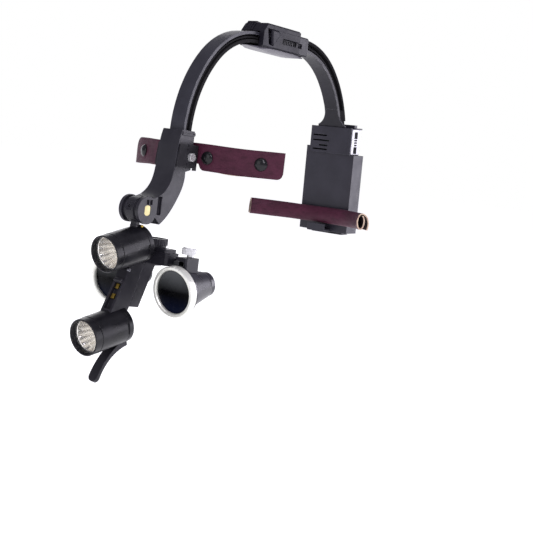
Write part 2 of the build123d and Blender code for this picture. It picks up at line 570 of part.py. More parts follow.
# ---- telescopes ----
def telescope(side):
    plane = axis_plane(SCOPE_FRONT, SCOPE_PITCH, PUPIL_HALF)
    end = SCOPE_LENGTH
    outer = [(15.0, 4.0), (16.6, 5.7), (16.6, 8.2), (14.4, 9.0), (9.8, 30.2), (8.8, 32.2), (8.8, end)]
    inner = [(6.9, end), (6.9, 30.4), (12.2, 9.0), (13.2, 4.0)]
    ring = [(15.0, 0.9), (15.6, 0.0), (17.2, 0.0), (RING_RADIUS, 0.6), (RING_RADIUS, 5.4), (17.2, 5.6)]
    ring += [(16.7, 5.6), (15.1, 3.9)]
    dome = 110.0
    lens = disc(plane, 14.9, 1.2, 3.9) & (plane * Pos(0, 0, 1.2 + dome) * Sphere(dome))
    room = [(0, 5.0), (16.75, 5.0), (16.75, 8.4), (14.55, 9.1), (9.95, 30.2), (8.95, 32.2)]
    room = turned(room + [(8.95, 40), (0, 40)], plane)
    clamp = block((26.2, 35.6), (-105.4, -91.6), (-66.5, -51.6)) - room
    clamp = chamfer(clamp.edges().filter_by(Axis.Z).group_by(Axis.X)[-1], 0.8)
    clamp -= block((20, 33.6), (-110, -85), (LUG_LOW - GAP, LUG_HIGH + GAP))
    clamp -= rod_z(1.5 + RUN, -70, -50, (SCREW_X, SCREW_Y))
    pieces = {"scope_body": turned(outer + inner, plane), "objective_ring": turned(ring, plane),
              "objective_lens": lens, "eyepiece_lens": disc(plane, 6.8, 31.0, 34.2),
              "clamp_block": clamp, "thumbscrew": thumbscrew()}
    for name, solid in pieces.items():
        save(f"{side}_{name}", solid if side == "left" else mirrored(solid))


def thumbscrew():
    centre = (SCREW_X, SCREW_Y)
    head = notched_disc(6.3, 0.4, 32, -49.6, -45.4, centre) + rod_z(5.6, -45.4, -44.7, centre)
    return head + rod_z(2.4, -51.3, -49.6, centre) + rod_z(1.5, -59.4, -51.3, centre)


# ---- rear housing, battery and neck strap ----
def leaned(shape):
    py, pz = REAR_PIVOT
    return Pos(0, py, pz) * Rot(REAR_TILT, 0, 0) * Pos(0, -py, -pz) * shape


def rear_housing():
    room = block((-SHELL_HALF + WALL, SHELL_HALF - WALL), (SHELL_FRONT + WALL, SHELL_BACK - WALL),
                 (CASE_TOP + WALL, SHELL_TOP - WALL))
    front = block((-SHELL_HALF, SHELL_HALF), (SHELL_FRONT, SHELL_SEAM), (CASE_TOP, SHELL_TOP)) - room
    for x_low, x_high, z in VENTS:
        front -= block((x_low, x_high), (SHELL_FRONT - 1, SHELL_FRONT + WALL + 1), (z - 0.6, z + 0.6))
    back = block((-SHELL_HALF, SHELL_HALF), (SHELL_SEAM, SHELL_BACK), (CASE_TOP, SHELL_TOP))
    back = chamfer(back.edges().filter_by(Axis.Z).group_by(Axis.Y)[-1], 1.5) - room
    back += block((-17.0, 17.0), (SHELL_SEAM, SHELL_SEAM + 4.0), (SHELL_TOP, SHELL_TOP + 2.8))
    back += block((SHELL_HALF, SHELL_HALF + 1.3), (105.4, 116.2), (SHELL_TOP - 0.7, SHELL_TOP + 0.5))
    seats = [Plane(origin=(x, SHELL_BACK, z), z_dir=(0, 1, 0)) for x in (-15, 15) for z in (39, 52)]
    screws = [disc(seat, 1.7, -1.0, 0.5) - cross_recess(seat.offset(0.5), 0.7) for seat in seats]
    holes = [disc(seat, 1.7, -1.0, 0.5) for seat in seats]
    save("housing_front", leaned(front) - arch_foot())
    save("housing_back", leaned(back - holes) - arch_foot())
    save("housing_screws", *[leaned(screw) for screw in screws])
    board = block((-17, 17), (112.6, 114.0), (37.0, 48.0))
    board += block((-12, -4), (114.0, 115.2), (39.0, 46.0)) + block((3, 9), (110.8, 112.6), (39.5, 45.5))
    save("circuit_board", leaned(board))
    plate = block((SHELL_HALF, SHELL_HALF + 0.9), (103.0, 115.4), (34.8, 55.2))
    save("side_plate", leaned(chamfer(plate.edges().filter_by(Axis.X), 0.8)))


def battery_case():
    case = block((-CASE_HALF, CASE_HALF), (CASE_FRONT, CASE_BACK), (CASE_LOW, CASE_TOP))
    case = chamfer(case.edges().filter_by(Axis.Z).group_by(Axis.Y)[-1], 1.2)
    case -= block((-CASE_HALF + WALL, CASE_HALF - WALL), (CASE_FRONT + WALL, CASE_BACK - WALL),
                  (CASE_LOW - 1, CASE_TOP - WALL))
    case += block((-CASE_HALF, -20.4), (CASE_FRONT, CASE_BACK - 4), (CASE_TOP, CASE_TOP + 5.0))
    tongue = block((-9, 8), (93.0, CASE_FRONT + 0.8), (CASE_LOW, CASE_LOW + 1.8))
    tongue += block((-9, 8), (93.0, 94.6), (CASE_LOW, CASE_LOW + 6.2))
    save("battery_case", leaned(case + tongue))
    inner = WALL + GAP
    plug_low, plug_high = CASE_LOW - GAP, -27.0
    plug = block((-CASE_HALF + inner, CASE_HALF - inner), (CASE_FRONT + inner, CASE_BACK - inner),
                 (plug_low, plug_high))
    plug += block((-15, 15), (109.0, CASE_BACK - 0.6), (-33.2, plug_low))
    plug -= block((-10.5, 10.5), (108.0, 110.2), (-32.7, -31.8))
    plug += block((-21, 21), (CASE_FRONT + inner, CASE_FRONT + inner + 1.2), (plug_high, 31.0))
    save("battery_drawer", leaned(plug))
    cell = block((-20, 20), (106.6, 116.4), (-26.6, 29.0))
    cell = fillet(cell.edges().filter_by(Axis.X), 2.4)
    save("battery_cell", leaned(cell))


def neck_strap():
    """Rolled leather strap as one curved oval bar across the nape."""
    middle = Vector(0, STRAP_CENTRE_Y - STRAP_RADIUS, STRAP_Z)
    path = CenterArc(middle, STRAP_RADIUS, 90 - STRAP_LEFT_ANGLE, STRAP_LEFT_ANGLE + STRAP_RIGHT_ANGLE)
    start = Plane(origin=path @ 0, x_dir=(0, 0, 1), z_dir=path % 0)
    save("neck_strap", sweep(start * Ellipse(STRAP_TALL / 2, STRAP_DEEP / 2), path=path))


def plate_screws():
    """One screw in the bracket's +X face, and its twin in the carrier's -X face."""
    low, high = PLATE_HALF - 1.2, PLATE_HALF + 0.4
    return [rod_x(1.1, low, high, (-127.7, -64.2)), rod_x(1.1, -high, -low, (-117.5, -66.0))]


def optics_screws(set_screw):
    heads = []
    for screw, side in zip(plate_screws(), (1, -1)):
        face = screw.faces().sort_by(Axis.X)[0 if side < 0 else -1]
        heads.append(screw - cross_recess(Plane(origin=face.center(), z_dir=(side, 0, 0)), 0.6))
    save("optics_screws", set_screw, *heads)


front_arch()
rear_arch()
adjuster()
lock_lever()
push_button()
crown_pad()
forehead_arm()
optics_screws(hinge_barrel())
band()
lamp("upper", UPPER_LAMP, 3.0)
lamp("lower", LOWER_LAMP, 8.0)
lamp_bracket()
loupe_carrier()
lamp_handle()
pupil_drive()
telescope("left")
telescope("right")
rear_housing()
battery_case()
neck_strap()
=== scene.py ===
from math import cos, exp, hypot, pi, radians, sin, sqrt

import bmesh
import bpy
from mathutils import Matrix, Vector, noise


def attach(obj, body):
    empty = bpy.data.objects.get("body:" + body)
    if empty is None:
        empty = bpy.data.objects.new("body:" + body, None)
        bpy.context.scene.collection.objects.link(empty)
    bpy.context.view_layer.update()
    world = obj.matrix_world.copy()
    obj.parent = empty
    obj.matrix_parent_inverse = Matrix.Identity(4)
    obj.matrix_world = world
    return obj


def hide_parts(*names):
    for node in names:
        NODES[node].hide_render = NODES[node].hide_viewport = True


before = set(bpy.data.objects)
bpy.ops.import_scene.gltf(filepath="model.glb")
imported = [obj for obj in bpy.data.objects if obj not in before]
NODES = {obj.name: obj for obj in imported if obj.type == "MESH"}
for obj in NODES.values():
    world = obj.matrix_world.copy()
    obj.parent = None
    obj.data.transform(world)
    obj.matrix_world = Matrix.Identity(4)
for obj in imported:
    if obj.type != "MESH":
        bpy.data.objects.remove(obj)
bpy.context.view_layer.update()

# Dental loupes on a head arch. Metres. The wearer faces -Y, the wearer's left is +X, +Z is up.

MM = 0.001


# ---- camera, light and floor ----
AIM = Vector((0.0, 0.034, -0.062))
DISTANCE = 0.910
AZIMUTH, ELEVATION, ROLL = radians(36.5), radians(5.0), radians(7.0)
SENSOR_WIDTH, FOCAL_LENGTH = 36.0, 77.3
PLAIN, COOL = (1.0, 1.0, 1.0), (0.93, 0.90, 1.0)
# Each softbox: its name, place, size, watts and colour. They all face the origin.
SOFTBOXES = (
    ("key_right_back", (1.05, 1.35, 0.25), (0.9, 1.3), 22.0, COOL),
    ("top_soft", (0.2, -0.3, 1.6), (1.3, 1.3), 3.0, PLAIN),
    ("front_fill", (0.1, -1.7, 0.5), (1.0, 1.0), 4.0, PLAIN),
    ("streak", (1.3, -0.9, 1.1), (0.14, 1.3), 13.0, COOL),
    ("left_back", (-1.3, 0.9, 0.5), (0.9, 1.1), 5.0, PLAIN),
)
WORLD_TINT, WORLD_STRENGTH = (0.90, 0.87, 1.0, 1.0), 0.36
FLOOR_Z, FLOOR_REACH = -0.170, 14.0
FLOOR_COLOUR, FLOOR_GLOW = (0.80, 0.80, 0.81, 1.0), 0.75


def add_camera():
    data = bpy.data.cameras.new("camera")
    data.sensor_width = SENSOR_WIDTH
    data.lens = FOCAL_LENGTH
    data.clip_start = 0.05
    data.clip_end = 60.0
    camera = bpy.data.objects.new("camera", data)
    bpy.context.scene.collection.objects.link(camera)
    back = Vector((sin(AZIMUTH) * cos(ELEVATION), -cos(AZIMUTH) * cos(ELEVATION), sin(ELEVATION)))
    level = Vector((cos(AZIMUTH), sin(AZIMUTH), 0.0))
    upright = back.cross(level)
    right = level * cos(ROLL) + upright * sin(ROLL)
    up = upright * cos(ROLL) - level * sin(ROLL)
    turn = Matrix((right, up, back)).transposed().to_4x4()
    camera.matrix_world = Matrix.Translation(AIM + back * DISTANCE) @ turn
    bpy.context.scene.camera = camera


def add_area(name, place, size, watts, colour):
    data = bpy.data.lights.new(name, "AREA")
    data.shape = "RECTANGLE"
    data.size, data.size_y = size
    data.energy = watts
    data.color = colour
    lamp = bpy.data.objects.new(name, data)
    bpy.context.scene.collection.objects.link(lamp)
    lamp.location = place
    lamp.rotation_euler = Vector(place).to_track_quat("Z", "Y").to_euler()


def add_studio():
    """Softboxes and a dim world, which the camera alone sees as plain white."""
    for softbox in SOFTBOXES:
        add_area(*softbox)
    bpy.context.scene.view_settings.view_transform = "Standard"
    world = bpy.data.worlds.new("studio")
    bpy.context.scene.world = world
    world.use_nodes = True
    tree = world.node_tree
    soft = tree.nodes["Background"]
    soft.inputs["Color"].default_value = WORLD_TINT
    soft.inputs["Strength"].default_value = WORLD_STRENGTH
    seen = tree.nodes.new("ShaderNodeBackground")
    seen.inputs["Color"].default_value = (1.0, 1.0, 1.0, 1.0)
    seen.inputs["Strength"].default_value = 1.0
    rays = tree.nodes.new("ShaderNodeLightPath")
    either = tree.nodes.new("ShaderNodeMixShader")
    tree.links.new(rays.outputs["Is Camera Ray"], either.inputs[0])
    tree.links.new(soft.outputs[0], either.inputs[1])
    tree.links.new(seen.outputs[0], either.inputs[2])
    tree.links.new(either.outputs[0], tree.nodes["World Output"].inputs["Surface"])


def add_floor():
    mesh = bpy.data.meshes.new("floor")
    signs = ((-1, -1), (1, -1), (1, 1), (-1, 1))
    mesh.from_pydata([(x * FLOOR_REACH, y * FLOOR_REACH, FLOOR_Z) for x, y in signs], [], [(0, 1, 2, 3)])
    floor = bpy.data.objects.new("floor", mesh)
    bpy.context.scene.collection.objects.link(floor)
    material = bpy.data.materials.new("floor_pale")
    material.use_nodes = True
    shader = material.node_tree.nodes["Principled BSDF"]
    shader.inputs["Base Color"].default_value = FLOOR_COLOUR
    shader.inputs["Roughness"].default_value = 0.9
    shader.inputs["Specular IOR Level"].default_value = 0.0
    shader.inputs["Emission Color"].default_value = (1.0, 1.0, 1.0, 1.0)
    shader.inputs["Emission Strength"].default_value = FLOOR_GLOW
    mesh.materials.append(material)


# ---- materials ----
# How square the softened normal is to the face where an edge counts as fully worn, and where wear begins.
FULLY_WORN, WEAR_BEGINS = 0.90, 0.995


class Recipe:
    """A Principled material whose colour, roughness and normal come from small node chains."""

    def __init__(self, name, **values):
        self.material = bpy.data.materials.new(name)
        self.material.use_nodes = True
        self.tree = self.material.node_tree
        self.shader = self.tree.nodes["Principled BSDF"]
        for socket, value in values.items():
            self.shader.inputs[socket.replace("_", " ")].default_value = value
        self.where = self.tree.nodes.new("ShaderNodeTexCoord").outputs["Object"]
        self.normal = None

    def node(self, kind, inputs=(), **settings):
        made = self.tree.nodes.new(kind)
        for key, value in settings.items():
            setattr(made, key, value)
        for key, value in dict(inputs).items():
            if isinstance(value, bpy.types.NodeSocket):
                self.tree.links.new(value, made.inputs[key])
            else:
                made.inputs[key].default_value = value
        return made

    def stretched(self, scale, turn=(0.0, 0.0, 0.0)):
        inputs = {"Vector": self.where, "Scale": scale, "Rotation": turn}
        return self.node("ShaderNodeMapping", inputs).outputs[0]

    def noise(self, scale, detail=3.0, rough=0.55, vector=None):
        inputs = {"Vector": vector or self.where, "Scale": scale, "Detail": detail, "Roughness": rough}
        return self.node("ShaderNodeTexNoise", inputs).outputs["Fac"]

    def cells(self, scale, feature="F1", output="Distance", vector=None):
        inputs = {"Vector": vector or self.where, "Scale": scale}
        return self.node("ShaderNodeTexVoronoi", inputs, feature=feature).outputs[output]

    def remap(self, value, low, high, to_low=0.0, to_high=1.0):
        inputs = {"Value": value, "From Min": low, "From Max": high, "To Min": to_low, "To Max": to_high}
        return self.node("ShaderNodeMapRange", inputs).outputs["Result"]

    def maths(self, operation, first, second=0.5):
        made = self.node("ShaderNodeMath", {0: first, 1: second}, operation=operation)
        return made.outputs[0]

    def mix(self, amount, first, second):
        made = self.node("ShaderNodeMix", data_type="RGBA")
        for socket, value in ((made.inputs[0], amount), (made.inputs[6], first), (made.inputs[7], second)):
            if isinstance(value, bpy.types.NodeSocket):
                self.tree.links.new(value, socket)
            else:
                socket.default_value = value
        return made.outputs[2]

    def edge_wear(self, radius):
        """1 on worn outer edges, broken up by noise; on the arches the same mask places a painted highlight.
        """
        soft = self.node("ShaderNodeBevel", {"Radius": radius}, samples=6)
        plain = self.node("ShaderNodeNewGeometry").outputs["Normal"]
        bend = self.node("ShaderNodeVectorMath", {0: soft.outputs[0], 1: plain}, operation="DOT_PRODUCT")
        rounded = self.remap(bend.outputs["Value"], WEAR_BEGINS, FULLY_WORN)
        patchy = self.remap(self.noise(260.0, 4.0), 0.38, 0.62)
        self.normal = soft.outputs[0]
        return self.maths("MULTIPLY", rounded, patchy)

    def bump(self, height, strength, distance):
        inputs = {"Height": height, "Strength": strength, "Distance": distance}
        if self.normal is not None:
            inputs["Normal"] = self.normal
        self.normal = self.node("ShaderNodeBump", inputs).outputs["Normal"]

    def finish(self, colour=None, rough=None):
        if colour is not None:
            self.tree.links.new(colour, self.shader.inputs["Base Color"])
        if rough is not None:
            self.tree.links.new(rough, self.shader.inputs["Roughness"])
        if self.normal is not None:
            self.tree.links.new(self.normal, self.shader.inputs["Normal"])
        return self.material


# Painted shade laid over the arch channels: a near-black colour, and the roughness that goes with it.
CHANNEL_PAINTED_SHADE, CHANNEL_ROUGH = (0.004, 0.0035, 0.005, 1.0), 0.95


def moulded_plastic(name, dark, light, edge_wear_and_highlight, rough, grain=2600.0, depth=0.00005, edge=0.0005, gloss=0.5,
                    shade=None):
    """Satin moulding with a fine spark-eroded grain, faint clouding and polished, lighter edges; the lighter
    edges are wear, and on the arches a painted highlight.

    shade gives a mask that is 1 where a channel gets painted shade, a near-black colour.
    """
    r = Recipe(name, Specular_IOR_Level=gloss)
    wear = r.edge_wear(edge)
    cloud = r.remap(r.noise(55.0, 4.0), 0.35, 0.65)
    base = r.mix(cloud, dark, light)
    if shade is not None:
        deep = shade(r)
        # Painted shade: near black inside the channel.
        base = r.mix(deep, base, CHANNEL_PAINTED_SHADE)
        wear = r.maths("MULTIPLY", wear, r.maths("SUBTRACT", 1.0, deep))
    # Lighter edges: wear, and on the arches a bright painted highlight along the flanges.
    colour = r.mix(r.maths("MULTIPLY", wear, 0.45), base, edge_wear_and_highlight)
    handled = r.remap(r.noise(90.0, 5.0, 0.6), 0.3, 0.7, rough - 0.05, rough + 0.07)
    shine = r.maths("SUBTRACT", handled, r.maths("MULTIPLY", wear, 0.1))
    if shade is not None:
        shine = r.maths("MAXIMUM", shine, r.maths("MULTIPLY", deep, CHANNEL_ROUGH))
    r.bump(r.noise(grain, 2.0), 0.35, depth)
    return r.finish(colour, shine)


# Each arch's two bends: the y and z of the bend's centre and its radius, in millimetres.
FRONT_ARCS = ((-0.5, 32.9, 86.0), (-19.5, 49.7, 60.6))
REAR_ARCS = ((40.0, 50.4, 63.0), (25.4, 34.6, 84.5))
# The front arch's second bend takes over above this height, the rear arch's behind this depth.
FRONT_SECOND_ABOVE, REAR_SECOND_BEHIND = 89.9, 82.7
FRONT_FLANGE, REAR_FLANGE = 1.85, -2.35
REAR_CHANNEL_BEHIND = 40.3


def arch_offset(r, arcs, along, limit):
    """Distance outward from an arch's centreline; past a limit on an axis, its second bend holds."""
    parts = r.node("ShaderNodeSeparateXYZ", {0: r.where}).outputs
    flat = r.node("ShaderNodeCombineXYZ", {"Y": parts["Y"], "Z": parts["Z"]}).outputs[0]
    gaps = []
    for y, z, radius in arcs:
        middle = (0.0, y * MM, z * MM)
        away = r.node("ShaderNodeVectorMath", {0: flat, 1: middle}, operation="DISTANCE").outputs["Value"]
        gaps.append(r.maths("SUBTRACT", away, radius * MM))
    switch = r.maths("GREATER_THAN", parts[along], limit * MM)
    keep = r.maths("MULTIPLY", gaps[0], r.maths("SUBTRACT", 1.0, switch))
    return r.maths("ADD", keep, r.maths("MULTIPLY", gaps[1], switch)), parts


def front_channel(r):
    """1 inward of the front arch's outer flange, where the channel is in shade."""
    offset, _ = arch_offset(r, FRONT_ARCS, "Z", FRONT_SECOND_ABOVE)
    return r.maths("LESS_THAN", offset, FRONT_FLANGE * MM)


def rear_channel(r):
    """1 outward of the rear arch's inner flange, clear of the adjuster, where the channel gets painted shade.
    """
    offset, parts = arch_offset(r, REAR_ARCS, "Y", REAR_SECOND_BEHIND)
    deep = r.maths("GREATER_THAN", offset, REAR_FLANGE * MM)
    return r.maths("MULTIPLY", deep, r.maths("GREATER_THAN", parts["Y"], REAR_CHANNEL_BEHIND * MM))


SCOPE_PITCH, LAMP_PITCH = 9.1, 14.0


def turned_metal(name, colour, tint, rough, metallic=1.0, lines=2400.0, pitch=0.0, gloss=0.5):
    """Machined metal with fine lines square to an axis that leans back by the pitch, in degrees."""
    r = Recipe(name, Metallic=metallic, Specular_IOR_Level=gloss)
    wear = r.edge_wear(0.00035)
    along = r.stretched((6.0, lines, 6.0), (radians(-pitch), 0.0, 0.0))
    streak = r.noise(1.0, 2.0, 0.6, along)
    smudge = r.noise(120.0, 4.0)
    base = r.mix(r.remap(smudge, 0.35, 0.7), colour, tint)
    bright = tuple(min(1.0, c * 1.35 + 0.05) for c in colour[:3]) + (1.0,)
    shade = r.mix(r.maths("MULTIPLY", wear, 0.6), base, bright)
    r.bump(streak, 0.12, 0.00004)
    return r.finish(shade, r.remap(smudge, 0.3, 0.7, rough - 0.05, rough + 0.08))


def leather(name, dark, light, rough=0.5, grain=1150.0):
    """Dyed leather: pebbled grain and deeper creases, darker in the creases."""
    r = Recipe(name, Specular_IOR_Level=0.25, Sheen_Weight=0.04, Sheen_Roughness=0.4)
    pebbles = r.cells(grain, "SMOOTH_F1")
    cracks = r.cells(grain * 0.6, "DISTANCE_TO_EDGE")
    creases = r.noise(150.0, 6.0, 0.65, r.stretched((1.0, 1.0, 2.6)))
    pooled = r.remap(r.noise(70.0, 5.0), 0.3, 0.7)
    base = r.mix(pooled, dark, light)
    darker = tuple(c * 0.62 for c in dark[:3]) + (1.0,)
    colour = r.mix(r.remap(creases, 0.34, 0.5, 0.55, 0.0), base, darker)
    relief = r.maths("ADD", r.maths("MULTIPLY", pebbles, -0.6), r.remap(cracks, 0.0, 0.12, 0.0, 0.5))
    r.bump(creases, 0.3, 0.0004)
    r.bump(relief, 0.35, 0.00012)
    return r.finish(colour, r.remap(creases, 0.3, 0.7, rough + 0.14, rough - 0.04))


def raw_edge(name):
    """Cut edge and flesh side of the leather: pale, fibrous and a little stained."""
    r = Recipe(name, Specular_IOR_Level=0.2, Sheen_Weight=0.3)
    fibres = r.noise(900.0, 6.0, 0.7, r.stretched((1.0, 1.0, 3.0)))
    stain = r.noise(160.0, 4.0)
    base = r.mix(r.remap(fibres, 0.35, 0.65), (0.50, 0.36, 0.26, 1.0), (0.72, 0.57, 0.44, 1.0))
    colour = r.mix(r.remap(stain, 0.5, 0.72, 0.0, 0.6), base, (0.25, 0.11, 0.10, 1.0))
    r.bump(fibres, 0.5, 0.0002)
    return r.finish(colour, r.remap(fibres, 0.3, 0.7, 0.75, 0.95))


def bowl_silver():
    """Evaporated metal on a fluted reflector, warmer in patches."""
    r = Recipe("reflector_silver", Metallic=1.0)
    haze = r.noise(300.0, 4.0)
    colour = r.mix(r.remap(haze, 0.35, 0.7), (0.93, 0.91, 0.86, 1.0), (0.80, 0.755, 0.68, 1.0))
    r.bump(r.noise(500.0, 1.0), 0.05, 0.00002)
    return r.finish(colour, r.remap(haze, 0.3, 0.7, 0.20, 0.27))


# Heights where the objective's painted reflections, grey in the upper half and navy towards the lower rim,
# begin and are complete, in millimetres.
UPPER_REFLECTION, LOWER_REFLECTION = (-75.5, -61.0), (-78.0, -91.0)


def coated_lens():
    """Multi-coated objective: almost black, with a painted grey reflection in its upper half and a painted
    navy coating reflection towards the lower rim.
    """
    r = Recipe("coated_lens", Specular_IOR_Level=0.05)
    height = r.node("ShaderNodeSeparateXYZ", {0: r.where}).outputs["Z"]
    upper = r.remap(height, UPPER_REFLECTION[0] * MM, UPPER_REFLECTION[1] * MM)
    lower = r.remap(height, LOWER_REFLECTION[0] * MM, LOWER_REFLECTION[1] * MM)
    # Painted reflection set by height: grey above, navy towards the lower rim.
    tint = r.mix(upper, (0.0016, 0.0016, 0.0022, 1.0), (0.095, 0.100, 0.104, 1.0))
    deep = r.mix(lower, tint, (0.0035, 0.0060, 0.020, 1.0))
    dust = r.remap(r.noise(500.0, 5.0), 0.60, 0.78, 0.0, 0.04)
    colour = r.mix(dust, deep, (0.3, 0.3, 0.34, 1.0))
    return r.finish(colour, r.remap(r.noise(220.0, 4.0), 0.3, 0.7, 0.22, 0.32))


def clear_cover():
    """Thin anti-reflective cover glass over the lamp."""
    r = Recipe("clear_cover", Alpha=0.05, Roughness=0.04, Specular_IOR_Level=0.6)
    smear = r.noise(120.0, 4.0)
    colour = r.mix(r.remap(smear, 0.4, 0.7), (0.80, 0.84, 0.86, 1.0), (0.92, 0.93, 0.93, 1.0))
    return r.finish(colour, r.remap(smear, 0.3, 0.7, 0.03, 0.1))


def circuit_mask():
    """Green solder mask with a net of tracks under it, its colours darkened as painted shade so it shows
    black through the vents.
    """
    r = Recipe("solder_mask", Specular_IOR_Level=0.5)
    tracks = r.cells(240.0, "DISTANCE_TO_EDGE")
    # The mask's green is real; how dark it is, is painted shade.
    colour = r.mix(r.remap(tracks, 0.02, 0.05), (0.010, 0.040, 0.024, 1.0), (0.004, 0.018, 0.010, 1.0))
    r.bump(r.remap(tracks, 0.0, 0.05), 0.3, 0.0001)
    return r.finish(colour, r.remap(r.noise(300.0), 0.3, 0.7, 0.25, 0.4))


def label_white():
    """Glossy printed membrane with a faint dimple texture and grime at its edges."""
    r = Recipe("label_white", Specular_IOR_Level=0.5, Coat_Weight=0.25, Coat_Roughness=0.15)
    wear = r.edge_wear(0.0004)
    grime = r.remap(r.noise(130.0, 5.0), 0.5, 0.75, 0.0, 0.35)
    base = r.mix(grime, (0.62, 0.61, 0.66, 1.0), (0.50, 0.48, 0.53, 1.0))
    colour = r.mix(r.maths("MULTIPLY", wear, 0.4), base, (0.45, 0.43, 0.46, 1.0))
    r.bump(r.cells(1500.0), 0.2, 0.00005)
    return r.finish(colour, r.remap(r.noise(200.0), 0.3, 0.7, 0.28, 0.4))


def phosphor():
    """Speckled yellow dome of a white emitter."""
    r = Recipe("phosphor", Roughness=0.35, Subsurface_Weight=0.1)
    speck = r.noise(2500.0, 3.0)
    colour = r.mix(r.remap(speck, 0.35, 0.65), (0.78, 0.60, 0.12, 1.0), (0.92, 0.80, 0.30, 1.0))
    return r.finish(colour, r.remap(speck, 0.3, 0.7, 0.3, 0.5))


def make_materials():
    m = {}
    m["black"] = moulded_plastic("black_moulding", (0.012, 0.0115, 0.016, 1), (0.020, 0.019, 0.025, 1),
                                 (0.09, 0.085, 0.11, 1), 0.38, gloss=0.26)
    m["case"] = moulded_plastic("case_moulding", (0.019, 0.018, 0.027, 1), (0.026, 0.0245, 0.036, 1),
                                (0.12, 0.115, 0.14, 1), 0.40, grain=1900.0, depth=0.00008, gloss=0.34)
    m["adjuster"] = moulded_plastic("adjuster_moulding", (0.007, 0.0064, 0.011, 1), (0.011, 0.0102, 0.017, 1),
                                    (0.06, 0.055, 0.075, 1), 0.46, gloss=0.18)
    m["arm"] = moulded_plastic("arm_moulding", (0.014, 0.0135, 0.019, 1), (0.022, 0.021, 0.028, 1),
                               (0.15, 0.14, 0.17, 1), 0.42, gloss=0.34)
    # The arches' pale edge colours are painted highlights along their flanges.
    m["front_arch"] = moulded_plastic("front_arch_moulding", (0.020, 0.020, 0.028, 1),
                                      (0.030, 0.030, 0.040, 1), (0.42, 0.41, 0.46, 1), 0.42, gloss=0.34,
                                      shade=front_channel)
    m["rear_arch"] = moulded_plastic("rear_arch_moulding", (0.012, 0.0115, 0.016, 1),
                                     (0.018, 0.0172, 0.024, 1), (0.62, 0.61, 0.66, 1), 0.42, gloss=0.24,
                                     shade=rear_channel)
    m["rough_black"] = moulded_plastic("bracket_moulding", (0.008, 0.0075, 0.010, 1),
                                       (0.018, 0.017, 0.022, 1), (0.06, 0.055, 0.07, 1), 0.60, grain=1100.0,
                                       depth=0.00016, gloss=0.25)
    m["pad"] = moulded_plastic("pad_moulding", (0.075, 0.070, 0.090, 1), (0.095, 0.088, 0.112, 1),
                               (0.25, 0.24, 0.28, 1), 0.34, grain=3200.0, depth=0.00003)
    m["rubber"] = moulded_plastic("flex_jacket", (0.010, 0.010, 0.012, 1), (0.016, 0.016, 0.018, 1),
                                  (0.05, 0.05, 0.05, 1), 0.5, grain=1500.0, edge=0.0002)
    m["nylon"] = moulded_plastic("nylon", (0.035, 0.034, 0.036, 1), (0.05, 0.05, 0.052, 1),
                                 (0.12, 0.12, 0.12, 1), 0.4, edge=0.0001)
    m["cell_wrap"] = moulded_plastic("cell_wrap", (0.10, 0.14, 0.24, 1), (0.14, 0.19, 0.32, 1),
                                     (0.4, 0.45, 0.5, 1), 0.32)
    m["snap"] = moulded_plastic("snap_enamel", (0.004, 0.004, 0.005, 1), (0.008, 0.008, 0.010, 1),
                                (0.02, 0.02, 0.03, 1), 0.17, grain=900.0, depth=0.00001, edge=0.0003,
                                gloss=0.32)
    m["lamp"] = turned_metal("lamp_anodised", (0.006, 0.006, 0.008, 1), (0.012, 0.0115, 0.015, 1), 0.30, 0.0,
                             1800.0, LAMP_PITCH, 0.26)
    m["scope"] = turned_metal("scope_anodised", (0.012, 0.0115, 0.018, 1), (0.018, 0.017, 0.026, 1), 0.27,
                              0.0, 1800.0, SCOPE_PITCH, 0.75)
    m["ring"] = turned_metal("ring_nickel", (0.86, 0.86, 0.80, 1), (0.74, 0.75, 0.68, 1), 0.30, 0.45, 2600.0,
                             SCOPE_PITCH)
    m["nickel"] = turned_metal("screw_nickel", (0.86, 0.86, 0.87, 1), (0.66, 0.66, 0.68, 1), 0.26, 0.7)
    m["steel"] = turned_metal("screw_steel", (0.40, 0.40, 0.44, 1), (0.30, 0.30, 0.34, 1), 0.30)
    m["dark_steel"] = turned_metal("blackened_steel", (0.10, 0.10, 0.11, 1), (0.16, 0.16, 0.17, 1), 0.34)
    m["brass"] = turned_metal("contact_brass", (0.42, 0.30, 0.06, 1), (0.30, 0.20, 0.04, 1), 0.32)
    m["pin_brass"] = turned_metal("pin_brass", (0.62, 0.55, 0.26, 1), (0.52, 0.45, 0.20, 1), 0.40, 0.3)
    m["led_body"] = turned_metal("heat_sink", (0.62, 0.62, 0.60, 1), (0.50, 0.50, 0.50, 1), 0.38)
    m["leather"] = leather("burgundy_leather", (0.040, 0.0050, 0.017, 1), (0.066, 0.0095, 0.029, 1))
    m["raw"] = raw_edge("raw_leather")
    m["suede"] = leather("dark_suede", (0.030, 0.012, 0.014, 1), (0.055, 0.026, 0.026, 1), 0.8, 700.0)
    m["lens"] = coated_lens()
    m["cover"] = clear_cover()
    m["silver"] = bowl_silver()
    m["board"] = circuit_mask()
    m["label"] = label_white()
    m["phosphor"] = phosphor()
    m["print"] = moulded_plastic("print_ink", (0.010, 0.010, 0.012, 1), (0.016, 0.016, 0.018, 1),
                                 (0.03, 0.03, 0.03, 1), 0.75, edge=0.00005, gloss=0.1)
    return m


